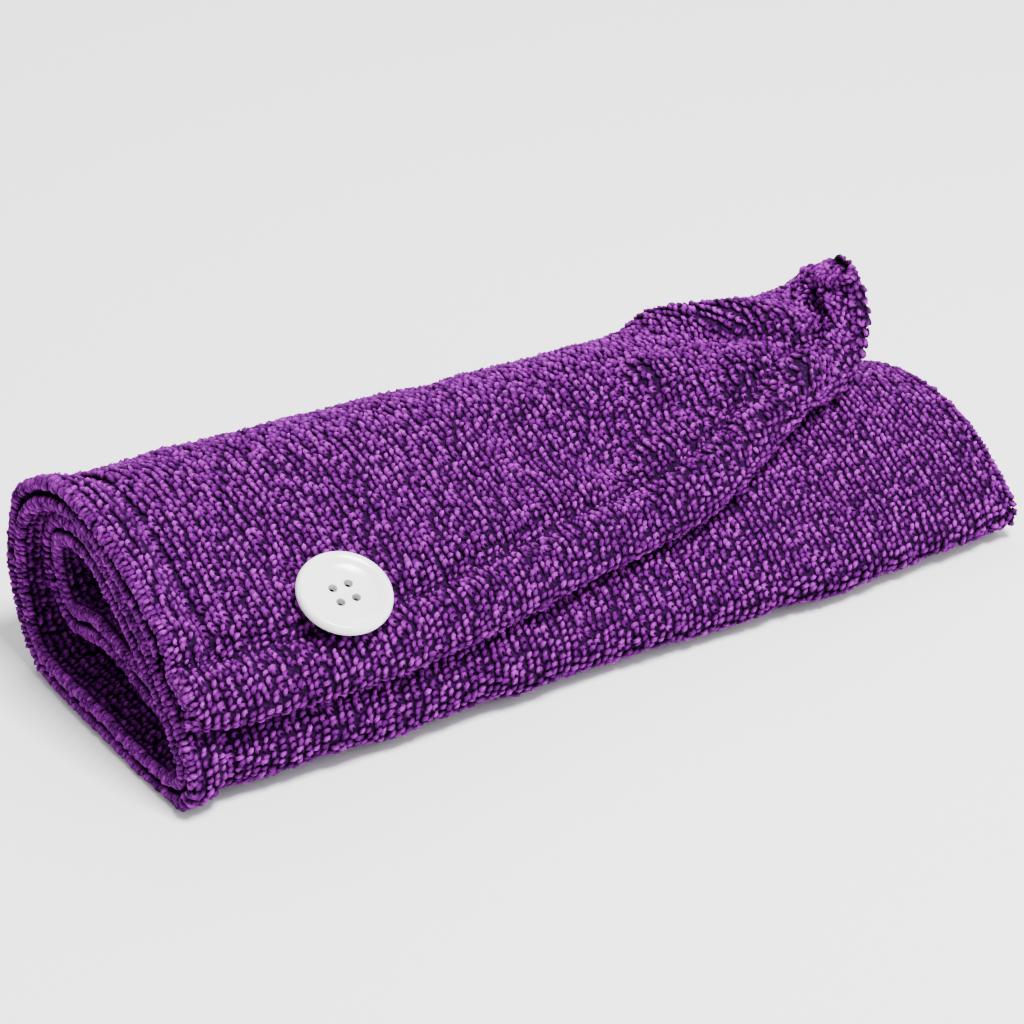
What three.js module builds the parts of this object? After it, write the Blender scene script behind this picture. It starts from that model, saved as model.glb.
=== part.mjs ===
// Hair towel: a hood of two chenille plies, rolled up and lying on a table, with a button on its flap.
// Millimetres. The roll runs along X, Y goes from the front face to the back, Z is up.
import * as THREE from 'three';

// Cloth
const ROLL_LENGTH = 250;
const PLY_THICKNESS = 3.4;
const PLY_OFFSET = 2.25;
const TURN_PITCH = 10.2;

// Hem of the hood's mouth
const HEM_WIDTH = 15;
const HEM_PUFF = 1.5;
const CORNER_PUFF = 2.2;
const HEM_GROOVE = 0.8;
const HEM_GROOVE_HALF_WIDTH = 3;
const HEM_BACK_GAP = 4;

// Button
const BUTTON_RADIUS = 12;
const BUTTON_THICKNESS = 3.2;
const BUTTON_BEVEL = 1.1;
const BUTTON_BEVEL_STEPS = 2;
const BUTTON_SEGMENTS = 20;
const BUTTON_STANDOFF = 7.6;
const BUTTON_LEAN = 9.5;
const HOLE_RADIUS = 1.15;
const HOLE_SPACING = 4.3;
const HOLE_SEGMENTS = 12;
const THREAD_RADIUS = 2.6;
const THREAD_GAP = 0.35;
const THREAD_SEGMENTS = 20;

// Where the button sits on the flap: along the roll, and round it in spiral units
const BUTTON_X = 48;
const BUTTON_ROUND = 1.33;

// Colours
const PURPLE = 0x5e1f86;
const PURPLE_INSIDE = 0x56197c;
const WHITE = 0xf6f6f4;

// Sections of the rolled cloth: the control polygon of the middle between the plies.
// Each pair is [depth, height]; the curve goes up the front, over the ridge, down the back
// and under. One spiral unit is the step from one column to the next.
const CORNERS = ['frontLow', 'frontKnee', 'ridgeFront', 'ridgeBack', 'back', 'backLow', 'under'];
const SECTIONS = [
  {
    x: 0, frontLow: [-20.5, -14.9], frontKnee: [-12.8, 25.4], ridgeFront: [43.5, 62.6],
    ridgeBack: [73.9, 51.8], back: [89.1, 35.5], backLow: [77.0, 0.4], under: [45.8, 8.4],
  },
  {
    x: 60, frontLow: [-24.1, -15.0], frontKnee: [-12.9, 27.2], ridgeFront: [42.8, 56.8],
    ridgeBack: [66.2, 55.0], back: [93.6, 33.1], backLow: [77.0, 0.5], under: [44.0, 8.3],
  },
  {
    x: 125, frontLow: [-21.9, -13.0], frontKnee: [-14.1, 20.3], ridgeFront: [43.5, 53.0],
    ridgeBack: [66.9, 52.2], back: [93.8, 29.1], backLow: [76.2, 1.0], under: [44.9, 7.7],
  },
  {
    x: 190, frontLow: [-27.2, -12.7], frontKnee: [-15.2, 19.0], ridgeFront: [41.2, 48.2],
    ridgeBack: [66.4, 51.2], back: [92.6, 23.2], backLow: [76.6, 2.2], under: [44.1, 7.0],
  },
  {
    x: 250, frontLow: [-23.0, -12.3], frontKnee: [-11.6, 18.6], ridgeFront: [31.1, 40.3],
    ridgeBack: [70.6, 28.1], back: [87.0, 16.2], backLow: [77.2, 4.0], under: [44.5, 6.4],
  },
];

// The hood's mouth (the flap's free edge) in spiral units along the roll
const MOUTH = [
  { x: 0, round: 1.04 }, { x: 17, round: 1.0 }, { x: 58, round: 1.0 }, { x: 88, round: 1.09 },
  { x: 122, round: 1.24 }, { x: 155, round: 1.36 }, { x: 176, round: 1.51 }, { x: 198, round: 1.74 },
  { x: 220, round: 1.98 }, { x: 250, round: 2.35 },
];

// The towel's narrowing tail, rolled up inside, in spiral units along the roll
const TAIL = [
  { x: 0, round: 13.9 }, { x: 60, round: 13.7 }, { x: 120, round: 13.2 }, { x: 190, round: 12.0 },
  { x: 250, round: 10.0 },
];

// The near and far side edges along the spiral
const NEAR_EDGE = [
  { round: 0.5, x: 6 }, { round: 1.4, x: 4.5 }, { round: 2.8, x: 1 }, { round: 4, x: -1 },
  { round: 5.5, x: -3 }, { round: 7, x: -2 }, { round: 9, x: 0 }, { round: 11, x: 4 }, { round: 14, x: 6 },
];
const FAR_EDGE = [
  { round: 0.5, x: 246 }, { round: 2.3, x: 245 }, { round: 2.9, x: 231 }, { round: 3.5, x: 229 },
  { round: 4.6, x: 246 }, { round: 6, x: 250 }, { round: 10, x: 250 }, { round: 14, x: 247 },
];

// Where one turn steps inside the one before it, under the roll and round its front fold
const STEP_FROM = 5.5;
const STEP_UNITS = 1.9;

// The flap stands off the turn under it near its far corner
const TENT = { height: 7, fromX: 172, toX: 225, fromEdge: 0.1, toEdge: 0.9, fromBack: 3.2, toBack: 4.5 };

// The flap runs on level past here, and its far corner bends up and curls back on itself
const CURL = { x: 217, radius: 14.5, fromEdge: 0.5, toEdge: 1.3, fromBack: 3.2, toBack: 4.6 };

// Folds of the cloth: a ridge (or a valley, where the height is below zero) between two places
const FOLDS = [
  { name: 'crest by the corner', x: [190, 214], round: [3.0, 2.45], height: 2.6, width: 8 },
  { name: 'valley by the corner', x: [196, 214], round: [2.5, 2.4], height: -2, width: 9 },
  { name: 'lower crest', x: [150, 182], round: [2.5, 2.2], height: 2.4, width: 8 },
  { name: 'dent of the flap', x: [118, 134], round: [1.95, 1.8], height: -1.6, width: 13 },
  { name: 'loose second turn', x: [0, 90], round: [12.6, 12.6], height: -4, width: 18 },
];
const UNIT_LENGTH = 30;

// Mesh density
const COLUMNS_BEFORE_CURL = 8;
const COLUMNS_IN_CURL = 6;
const RIM_STEPS = [0, 0.5, 1.9];
const ROWS_ROUND = 54;
const TABLE_STEPS = 260;
const ROW_BY_LENGTH = 0.45;
const DIFFERENCE = 0.02;

// Smooth step from 0 to 1 between two values.
function smooth(from, to, value) {
  const q = Math.min(1, Math.max(0, (value - from) / (to - from)));
  return q * q * (3 - 2 * q);
}

// Smooth value of one column of a table at a place on its key column.
function along(table, key, value, at) {
  const last = table.length - 1;
  const slope = (i) => {
    const a = table[Math.max(0, i - 1)];
    const b = table[Math.min(last, i + 1)];
    return (b[value] - a[value]) / (b[key] - a[key]);
  };
  let i = 0;
  while (i < last - 1 && at > table[i + 1][key]) i += 1;
  const a = table[i];
  const b = table[i + 1];
  const h = b[key] - a[key];
  const q = Math.min(1, Math.max(0, (at - a[key]) / h));
  const q2 = q * q;
  const q3 = q2 * q;
  const ends = (2 * q3 - 3 * q2 + 1) * a[value] + (3 * q2 - 2 * q3) * b[value];
  return ends + h * ((q3 - 2 * q2 + q) * slope(i) + (q3 - q2) * slope(i + 1));
}

// One flat table for each corner of the section, so that it can be read with along().
const CORNER_TABLES = CORNERS.map((name) => SECTIONS.map((row) => (
  { x: row.x, y: row[name][0], z: row[name][1] }
)));

// The control polygon at a place along the roll.
function polygonAt(x) {
  return CORNER_TABLES.map((table) => (
    new THREE.Vector2(along(table, 'x', 'y', x), along(table, 'x', 'z', x))
  ));
}

// The polygon moved inwards by a distance, edge by edge.
function movedIn(polygon, distance) {
  const count = polygon.length;
  const normals = polygon.map((p, i) => {
    const edge = polygon[(i + 1) % count].clone().sub(p).normalize();
    return new THREE.Vector2(edge.y, -edge.x);
  });
  return polygon.map((p, i) => {
    const before = normals[(i + count - 1) % count];
    const after = normals[i];
    const reach = distance / (1 + before.dot(after));
    return p.clone().addScaledVector(before, reach).addScaledVector(after, reach);
  });
}

// A point of the closed uniform B-spline of a polygon.
function splinePoint(polygon, round) {
  const i = Math.floor(round);
  const f = round - i;
  const weights = [
    (1 - f) ** 3 / 6, (3 * f ** 3 - 6 * f ** 2 + 4) / 6,
    (-3 * f ** 3 + 3 * f ** 2 + 3 * f + 1) / 6, f ** 3 / 6,
  ];
  const count = polygon.length;
  const point = new THREE.Vector2();
  weights.forEach((w, j) => point.addScaledVector(polygon[(((i + j - 1) % count) + count) % count], w));
  return point;
}

// How many whole turns lie outside this place of the spiral.
function turnsOutside(round) {
  const turn = (round - STEP_FROM) / CORNERS.length;
  const whole = Math.floor(turn);
  return whole + smooth(0, STEP_UNITS / CORNERS.length, turn - whole);
}

// How far the folds raise the cloth here, outwards.
function foldHeight(x, round) {
  let height = 0;
  FOLDS.forEach((fold) => {
    const start = new THREE.Vector2(fold.x[0], fold.round[0] * UNIT_LENGTH);
    const run = new THREE.Vector2(fold.x[1], fold.round[1] * UNIT_LENGTH).sub(start);
    const here = new THREE.Vector2(x, round * UNIT_LENGTH).sub(start);
    const share = Math.min(1, Math.max(0, here.dot(run) / run.lengthSq()));
    const distance = here.addScaledVector(run, -share).length() / fold.width;
    height += fold.height * Math.exp(-distance * distance);
  });
  return height;
}

// A point of the middle between the plies.
function middle(x, round) {
  const inwards = TURN_PITCH * turnsOutside(round) - foldHeight(x, round);
  const past = Math.max(0, x - CURL.x);
  const level = past * (1 - smooth(CURL.fromBack, CURL.toBack, round));
  const flat = splinePoint(movedIn(polygonAt(x - level), inwards), round);
  const fromEdge = round - along(MOUTH, 'x', 'round', x);
  const tent = TENT.height * smooth(TENT.fromX, TENT.toX, x)
    * smooth(TENT.fromEdge, TENT.toEdge, fromEdge)
    * (1 - smooth(TENT.fromBack, TENT.toBack, round));
  const point = new THREE.Vector3(x, flat.x, flat.y + tent);
  const bend = (1 - smooth(CURL.fromEdge, CURL.toEdge, fromEdge)) / CURL.radius;
  if (past > 0 && bend > 1e-5) {
    point.x = CURL.x + Math.sin(bend * past) / bend;
    point.z += (1 - Math.cos(bend * past)) / bend;
  }
  return point;
}

// The outward normal of the middle surface.
function normalAt(x, round) {
  const acrossStep = middle(x + DIFFERENCE, round).sub(middle(x - DIFFERENCE, round));
  const roundStep = middle(x, round + DIFFERENCE).sub(middle(x, round - DIFFERENCE));
  return acrossStep.cross(roundStep).normalize();
}

// A line round the spiral at one place across the towel, measured by length from the mouth.
class SpiralLine {
  constructor(share) {
    this.share = share;
    const guess = share * ROLL_LENGTH;
    this.start = along(MOUTH, 'x', 'round', guess);
    this.end = along(TAIL, 'x', 'round', guess);
    this.rounds = [];
    this.lengths = [];
    let before = null;
    let total = 0;
    for (let i = 0; i <= TABLE_STEPS; i += 1) {
      const round = this.start + ((this.end - this.start) * i) / TABLE_STEPS;
      const point = middle(this.xAt(round), round);
      if (before) total += point.distanceTo(before);
      before = point;
      this.rounds.push(round);
      this.lengths.push(total);
    }
    this.length = total;
  }

  // Place along the roll, between the towel's two side edges.
  xAt(round) {
    const near = along(NEAR_EDGE, 'round', 'x', round);
    const far = along(FAR_EDGE, 'round', 'x', round);
    return near + this.share * (far - near);
  }

  // Spiral units at a length from the mouth; below zero it runs straight on past the mouth.
  roundAt(length) {
    const last = this.lengths.length - 1;
    let i = 1;
    while (i < last && this.lengths[i] < length) i += 1;
    const step = this.lengths[i] - this.lengths[i - 1];
    const share = (length - this.lengths[i - 1]) / step;
    return this.rounds[i - 1] + share * (this.rounds[i] - this.rounds[i - 1]);
  }

  // Lengths of evenly spread rows, closer together in the tight bends.
  rows(from, count) {
    const first = this.roundAt(from);
    const out = [];
    let i = 0;
    const mixed = this.rounds.map((round, k) => (
      ROW_BY_LENGTH * (this.lengths[k] - from) / (this.length - from)
      + (1 - ROW_BY_LENGTH) * (round - first) / (this.end - first)
    ));
    for (let k = 0; k < count; k += 1) {
      const target = k / (count - 1);
      while (i < mixed.length - 2 && mixed[i + 1] < target) i += 1;
      const share = (target - mixed[i]) / (mixed[i + 1] - mixed[i]);
      out.push(this.lengths[i] + share * (this.lengths[i + 1] - this.lengths[i]));
    }
    return out;
  }
}

// How far the hem puffs out at a length from the mouth, with the stitched groove behind it.
function hemPuff(length, share) {
  const most = HEM_PUFF + CORNER_PUFF * smooth(0.7, 0.95, share);
  const puff = most * Math.sin(Math.PI * Math.min(1, Math.max(0, length / HEM_WIDTH)));
  const away = (length - HEM_WIDTH) / HEM_GROOVE_HALF_WIDTH;
  return puff - HEM_GROOVE * Math.exp(-away * away);
}

// Rows of the outer ply: from the turned-under end of the hem, round the mouth, to the tail.
function outerRows(line) {
  const rows = [];
  [HEM_WIDTH - 2, HEM_WIDTH * 0.6, HEM_WIDTH * 0.25, 0].forEach((length) => {
    rows.push({ length, offset: -PLY_OFFSET });
  });
  [-Math.PI / 4, 0, Math.PI / 4].forEach((angle) => {
    rows.push({ length: -PLY_OFFSET * Math.cos(angle), offset: PLY_OFFSET * Math.sin(angle) });
  });
  [0, 0.25, 0.6, 0.85, 1].forEach((share) => {
    const length = HEM_WIDTH * share;
    rows.push({ length, offset: PLY_OFFSET + hemPuff(length, line.share) });
  });
  line.rows(HEM_WIDTH + 4, ROWS_ROUND).forEach((length) => {
    rows.push({ length, offset: PLY_OFFSET + hemPuff(length, line.share) });
  });
  return rows;
}

// Rows of the inner ply, which starts behind the turned-under end of the hem.
function innerRows(line) {
  const lengths = line.rows(HEM_WIDTH + HEM_BACK_GAP, ROWS_ROUND);
  return lengths.map((length) => ({ length, offset: -PLY_OFFSET }));
}

// The thickness at an edge, rounded over the first millimetres.
function roundedShare(distance, reach) {
  const q = Math.min(1, Math.max(0, distance / reach));
  return Math.sqrt(Math.max(0.04, 1 - (1 - q) * (1 - q)));
}

// Places across the towel as shares of its width, closer together at both side edges and in the curl.
function acrossShares() {
  const reach = RIM_STEPS[RIM_STEPS.length - 1];
  const shares = RIM_STEPS.map((step) => step / ROLL_LENGTH);
  for (let i = 1; i <= COLUMNS_BEFORE_CURL; i += 1) {
    shares.push((reach + ((CURL.x - reach) * i) / COLUMNS_BEFORE_CURL) / ROLL_LENGTH);
  }
  for (let i = 1; i < COLUMNS_IN_CURL; i += 1) {
    shares.push((CURL.x + ((ROLL_LENGTH - reach - CURL.x) * i) / COLUMNS_IN_CURL) / ROLL_LENGTH);
  }
  return [...shares, ...RIM_STEPS.map((step) => 1 - step / ROLL_LENGTH).reverse()];
}

// A closed geometry from a grid of points on one face and a grid on the other.
function closedSheet(front, back) {
  const columns = front.length;
  const rows = front[0].length;
  const positions = [];
  [...front.flat(), ...back.flat()].forEach((p) => positions.push(p.x, p.y, p.z));
  const at = (side, i, j) => side * columns * rows + i * rows + j;
  const index = [];
  const quad = (a, b, c, d) => index.push(a, b, c, a, c, d);
  for (let i = 0; i < columns - 1; i += 1) {
    for (let j = 0; j < rows - 1; j += 1) {
      quad(at(0, i, j), at(0, i + 1, j), at(0, i + 1, j + 1), at(0, i, j + 1));
      quad(at(1, i, j), at(1, i, j + 1), at(1, i + 1, j + 1), at(1, i + 1, j));
    }
  }
  for (let i = 0; i < columns - 1; i += 1) {
    const end = rows - 1;
    quad(at(0, i, 0), at(1, i, 0), at(1, i + 1, 0), at(0, i + 1, 0));
    quad(at(0, i, end), at(0, i + 1, end), at(1, i + 1, end), at(1, i, end));
  }
  for (let j = 0; j < rows - 1; j += 1) {
    const end = columns - 1;
    quad(at(0, 0, j), at(0, 0, j + 1), at(1, 0, j + 1), at(1, 0, j));
    quad(at(0, end, j), at(1, end, j), at(1, end, j + 1), at(0, end, j + 1));
  }
  const geometry = new THREE.BufferGeometry();
  geometry.setAttribute('position', new THREE.Float32BufferAttribute(positions, 3));
  geometry.setIndex(index);
  geometry.computeVertexNormals();
  return geometry;
}

// The direction out of a grid of points at one of them, from its neighbours.
function gridNormal(grid, i, j) {
  const right = Math.min(grid.length - 1, i + 1);
  const left = Math.max(0, i - 1);
  const further = Math.min(grid[0].length - 1, j + 1);
  const nearer = Math.max(0, j - 1);
  const acrossStep = new THREE.Vector3().subVectors(grid[right][j], grid[left][j]);
  const roundStep = new THREE.Vector3().subVectors(grid[i][further], grid[i][nearer]);
  return acrossStep.cross(roundStep).normalize();
}

// One ply as a closed sheet of even thickness with rounded edges.
function plyGeometry(rowsOf) {
  const reach = RIM_STEPS[RIM_STEPS.length - 1];
  const shares = acrossShares();
  const centres = shares.map((share) => {
    const line = new SpiralLine(share);
    return rowsOf(line).map(({ length, offset }) => {
      const round = line.roundAt(length);
      const x = line.xAt(round);
      return middle(x, round).addScaledVector(normalAt(x, round), offset);
    });
  });
  const faceAt = (sign) => centres.map((column, i) => column.map((centre, j) => {
    const side = roundedShare(Math.min(shares[i], 1 - shares[i]) * ROLL_LENGTH, reach);
    const end = j === 0 || j === column.length - 1 ? 0.5 : 1;
    const half = (sign * PLY_THICKNESS * side * end) / 2;
    return centre.clone().addScaledVector(gridNormal(centres, i, j), half);
  }));
  return closedSheet(faceAt(1), faceAt(-1));
}

// The button: a flat disc with rounded rims and four round holes.
function buttonGeometry() {
  const shape = new THREE.Shape();
  shape.absarc(0, 0, BUTTON_RADIUS - BUTTON_BEVEL, 0, Math.PI * 2, false);
  [[1, 1], [1, -1], [-1, 1], [-1, -1]].forEach(([across, up]) => {
    const hole = new THREE.Path();
    const x = (across * HOLE_SPACING) / 2;
    const y = (up * HOLE_SPACING) / 2;
    const points = [];
    for (let k = 0; k < HOLE_SEGMENTS; k += 1) {
      const angle = (-2 * Math.PI * k) / HOLE_SEGMENTS;
      const radius = HOLE_RADIUS + BUTTON_BEVEL * 0.35;
      points.push(new THREE.Vector2(x + radius * Math.cos(angle), y + radius * Math.sin(angle)));
    }
    hole.setFromPoints(points);
    shape.holes.push(hole);
  });
  const geometry = new THREE.ExtrudeGeometry(shape, {
    depth: BUTTON_THICKNESS - 2 * BUTTON_BEVEL,
    bevelEnabled: true,
    bevelThickness: BUTTON_BEVEL,
    bevelSize: BUTTON_BEVEL,
    bevelSegments: BUTTON_BEVEL_STEPS,
    curveSegments: BUTTON_SEGMENTS,
  });
  geometry.translate(0, 0, -BUTTON_THICKNESS / 2 + BUTTON_BEVEL);
  return geometry;
}

// A turn that lays the button's own axes on the flap: X along the roll, Z out of the button's face,
// which leans from the cloth's own direction towards the sky.
function buttonTurn() {
  const up = normalAt(BUTTON_X, BUTTON_ROUND);
  up.applyAxisAngle(new THREE.Vector3(1, 0, 0), (-BUTTON_LEAN * Math.PI) / 180);
  const right = new THREE.Vector3(1, 0, 0).addScaledVector(up, -up.x).normalize();
  const back = new THREE.Vector3().crossVectors(up, right);
  return new THREE.Quaternion().setFromRotationMatrix(new THREE.Matrix4().makeBasis(right, back, up));
}

function material(color, roughness) {
  return new THREE.MeshStandardMaterial({ color, roughness, metalness: 0 });
}

function named(name, geometry, look) {
  const mesh = new THREE.Mesh(geometry, look);
  mesh.name = name;
  return mesh;
}

const outerCloth = named('outer_cloth', plyGeometry(outerRows), material(PURPLE, 0.95));
const innerCloth = named('inner_cloth', plyGeometry(innerRows), material(PURPLE_INSIDE, 0.95));

const seat = middle(BUTTON_X, BUTTON_ROUND);
const out = normalAt(BUTTON_X, BUTTON_ROUND);
const turn = buttonTurn();
const button = named('button', buttonGeometry(), material(WHITE, 0.25));
button.position.copy(seat).addScaledVector(out, BUTTON_STANDOFF);
button.quaternion.copy(turn);

const threadFrom = PLY_OFFSET + PLY_THICKNESS / 2 + THREAD_GAP;
const threadTo = BUTTON_STANDOFF - BUTTON_THICKNESS / 2 - THREAD_GAP
  - THREAD_RADIUS * Math.sin((BUTTON_LEAN * Math.PI) / 180);
const threadHeight = threadTo - threadFrom;
const threadShape = new THREE.CylinderGeometry(THREAD_RADIUS, THREAD_RADIUS, threadHeight, THREAD_SEGMENTS);
threadShape.rotateX(Math.PI / 2);
const buttonThread = named('button_thread', threadShape, material(WHITE, 0.8));
buttonThread.position.copy(seat).addScaledVector(out, (threadFrom + threadTo) / 2);
buttonThread.quaternion.setFromUnitVectors(new THREE.Vector3(0, 0, 1), out);

const towel = new THREE.Group();
towel.add(outerCloth, innerCloth, button, buttonThread);
towel.updateMatrixWorld(true);

// The origin is under the middle of the towel's box, on the table.
const box = new THREE.Box3().setFromObject(towel, true);
const centre = box.getCenter(new THREE.Vector3());
towel.children.forEach((mesh) => {
  mesh.position.x -= centre.x;
  mesh.position.y -= centre.y;
  mesh.position.z -= box.min.z;
});
towel.updateMatrixWorld(true);

export default towel;
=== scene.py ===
"""Rolled-up hair towel: two plies of looped chenille, a hemmed flap with a curled corner, and a button."""
from __future__ import annotations

import logging
import math
from dataclasses import dataclass, field, fields
from enum import Enum
from typing import Sequence

import bpy
import numpy as np
from mathutils import Matrix, Vector

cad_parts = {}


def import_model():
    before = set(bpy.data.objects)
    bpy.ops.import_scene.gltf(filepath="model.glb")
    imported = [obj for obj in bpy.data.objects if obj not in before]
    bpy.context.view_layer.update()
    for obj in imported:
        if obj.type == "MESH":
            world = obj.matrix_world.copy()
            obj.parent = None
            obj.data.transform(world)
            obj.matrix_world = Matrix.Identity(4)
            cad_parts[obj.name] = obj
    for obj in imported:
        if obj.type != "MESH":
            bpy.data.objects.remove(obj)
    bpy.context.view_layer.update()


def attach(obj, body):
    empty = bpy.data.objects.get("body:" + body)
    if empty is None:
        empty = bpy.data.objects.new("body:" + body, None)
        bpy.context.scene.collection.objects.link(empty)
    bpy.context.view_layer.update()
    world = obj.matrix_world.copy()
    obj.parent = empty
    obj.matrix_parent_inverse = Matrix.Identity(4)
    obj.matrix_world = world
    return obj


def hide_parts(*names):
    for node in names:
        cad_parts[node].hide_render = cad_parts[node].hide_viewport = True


LOG = logging.getLogger("hair_towel")
MM = 0.001
Array = np.ndarray
Color = tuple[float, float, float, float]

# What moves the working frame, in millimetres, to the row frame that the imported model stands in
FRAME_SHIFT = np.array([-123.788448, -40.435141, -0.259014])


# Small maths


def smooth(start: float, end: float, value: Array) -> Array:
    """Smooth step from 0 at start to 1 at end."""
    q = np.clip((value - start) / (end - start), 0.0, 1.0)
    return q * q * (3.0 - 2.0 * q)


def bell(distance: Array) -> Array:
    """A bump of height 1 at distance 0 that is nearly gone at 2."""
    return np.exp(-(distance**2))


def quarter_circle(share: Array, least: float = 0.0) -> Array:
    """Rises from 0 to 1 as a quarter of a circle does, or from the root of least."""
    return np.sqrt(np.maximum(least, 1.0 - (1.0 - np.clip(share, 0.0, 1.0)) ** 2))


def unit(vectors: Array) -> Array:
    """The vectors at length 1."""
    return vectors / np.maximum(np.linalg.norm(vectors, axis=-1, keepdims=True), 1e-12)


@dataclass(frozen=True)
class Table:
    """One column of values against a key column, read smoothly between its rows.

    Attributes:
        keys: the key of each row, rising.
        values: the value of each row.
    """

    keys: tuple[float, ...]
    values: tuple[float, ...]

    def __call__(self, at: Array) -> Array:
        """Reads the table.

        Args:
            at: places on the key column.

        Returns:
            The smooth value at each place, held at the first and last rows.
        """
        keys = np.array(self.keys)
        values = np.array(self.values)
        last = len(keys) - 1
        before = np.maximum(np.arange(last + 1) - 1, 0)
        after = np.minimum(np.arange(last + 1) + 1, last)
        slopes = (values[after] - values[before]) / (keys[after] - keys[before])
        at = np.asarray(at, dtype=float)
        i = np.clip(np.searchsorted(keys, at, side="left") - 1, 0, last - 1)
        step = keys[i + 1] - keys[i]
        q = np.clip((at - keys[i]) / step, 0.0, 1.0)
        ends = (2 * q**3 - 3 * q**2 + 1) * values[i] + (3 * q**2 - 2 * q**3) * values[i + 1]
        return ends + step * ((q**3 - 2 * q**2 + q) * slopes[i] + (q**3 - q**2) * slopes[i + 1])


# The rolled shape, in millimetres. The roll runs along X, Y is the depth from the front, Z is up.

ROLL_LENGTH = 250.0
TURN_PITCH = 10.2
UNITS_A_TURN = 7
STEP_FROM = 5.5
STEP_UNITS = 1.9
UNIT_LENGTH = 30.0
TABLE_STEPS = 420
DIFFERENCE = 0.02


@dataclass(frozen=True)
class Section:
    """Where the middle of the cloth runs at one place along the roll.

    After x come the corners of its control polygon as (depth, height), in the order that the cloth goes round.
    """

    x: float
    front_low: tuple[float, float]
    front_knee: tuple[float, float]
    ridge_front: tuple[float, float]
    ridge_back: tuple[float, float]
    back: tuple[float, float]
    back_low: tuple[float, float]
    under: tuple[float, float]


SECTIONS = (
    Section(0, (-20.5, -14.9), (-12.8, 25.4), (43.5, 62.6), (73.9, 51.8),
            (89.1, 35.5), (77.0, 0.4), (45.8, 8.4)),
    Section(60, (-24.1, -15.0), (-12.9, 27.2), (42.8, 56.8), (66.2, 55.0),
            (93.6, 33.1), (77.0, 0.5), (44.0, 8.3)),
    Section(125, (-21.9, -13.0), (-14.1, 20.3), (43.5, 53.0), (66.9, 52.2),
            (93.8, 29.1), (76.2, 1.0), (44.9, 7.7)),
    Section(190, (-27.2, -12.7), (-15.2, 19.0), (41.2, 48.2), (66.4, 51.2),
            (92.6, 23.2), (76.6, 2.2), (44.1, 7.0)),
    Section(250, (-23.0, -12.3), (-11.6, 18.6), (31.1, 40.3), (70.6, 28.1),
            (87.0, 16.2), (77.2, 4.0), (44.5, 6.4)),
)

# Edges of the towel: the mouth and the tail along the roll, the two sides along the spiral
MOUTH = Table((0, 17, 58, 88, 122, 155, 176, 198, 220, 250),
              (1.04, 1.0, 1.0, 1.09, 1.24, 1.36, 1.51, 1.74, 1.98, 2.35))
TAIL = Table((0, 60, 120, 190, 250), (13.9, 13.7, 13.2, 12.0, 10.0))
NEAR_EDGE = Table((0.5, 1.4, 2.8, 4, 5.5, 7, 9, 11, 14), (2.2, 1.2, 0, -1, -3, -1.2, 1.5, 4.5, 6))
FAR_EDGE = Table((0.5, 2.3, 2.55, 2.9, 3.5, 4.6, 6.6, 7.8, 10, 14),
                 (251, 250.5, 244, 231, 229, 246, 246.5, 249.5, 250, 247))
CORNER_ROUNDING = 9.0
FAR_CORNER_CUT = 6.0
NEAR_CORNER_CUT = 1.5


@dataclass(frozen=True)
class Tent:
    """How the flap stands off the turn under it near its far corner."""

    height: float = 7.0
    x: tuple[float, float] = (172.0, 225.0)
    edge: tuple[float, float] = (0.1, 0.9)
    back: tuple[float, float] = (3.2, 4.5)


@dataclass(frozen=True)
class Curl:
    """The flap runs on level past x, and its far corner bends up and curls back on itself."""

    x: float = 216.5
    radius: float = 13.2
    edge: tuple[float, float] = (0.5, 1.3)
    back: tuple[float, float] = (3.2, 4.6)


@dataclass(frozen=True)
class Fold:
    """A ridge of the cloth (or a valley, where the height is below zero) between two places."""

    name: str
    x: tuple[float, float]
    units: tuple[float, float]
    height: float
    width: float


FOLDS = (
    Fold("crest by the corner", (180, 212), (2.98, 2.33), 4.6, 6.0),
    Fold("back of the corner", (206, 226), (2.95, 2.75), 1.6, 8),
    Fold("valley by the corner", (188, 212), (2.53, 2.22), -4.2, 5.2),
    Fold("lower crest", (163, 198), (2.14, 1.92), 4.4, 6.5),
    Fold("valley under the lower crest", (136, 176), (1.72, 1.98), -3.2, 6),
    Fold("dent of the flap", (112, 136), (1.95, 1.75), -3.6, 10),
    Fold("low swell of the flap", (70, 110), (2.15, 2.3), 1.0, 15),
    Fold("loose second turn", (0, 90), (12.6, 12.6), -4.0, 18),
)


@dataclass(frozen=True)
class Wave:
    """A faint undulation of the cloth: its height and its lengths along and round the roll."""

    height: float
    along: float
    around: float
    phase: float

    def at(self, x: Array, units: Array) -> Array:
        """Its height at each place."""
        turns = x / self.along + units * UNIT_LENGTH / self.around
        return self.height * np.sin(2 * np.pi * turns + self.phase)


WAVES = (Wave(0.22, 47, 71, 0.4), Wave(0.2, 31, -43, 2.1), Wave(0.14, 23, 29, 4.0), Wave(0.12, -17, 37, 5.2))

# Spiral units between which the waves die out before the floor and come back after it
WAVES_END = (4.2, 5.2)
WAVES_RETURN = (6.4, 7.2)


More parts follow.
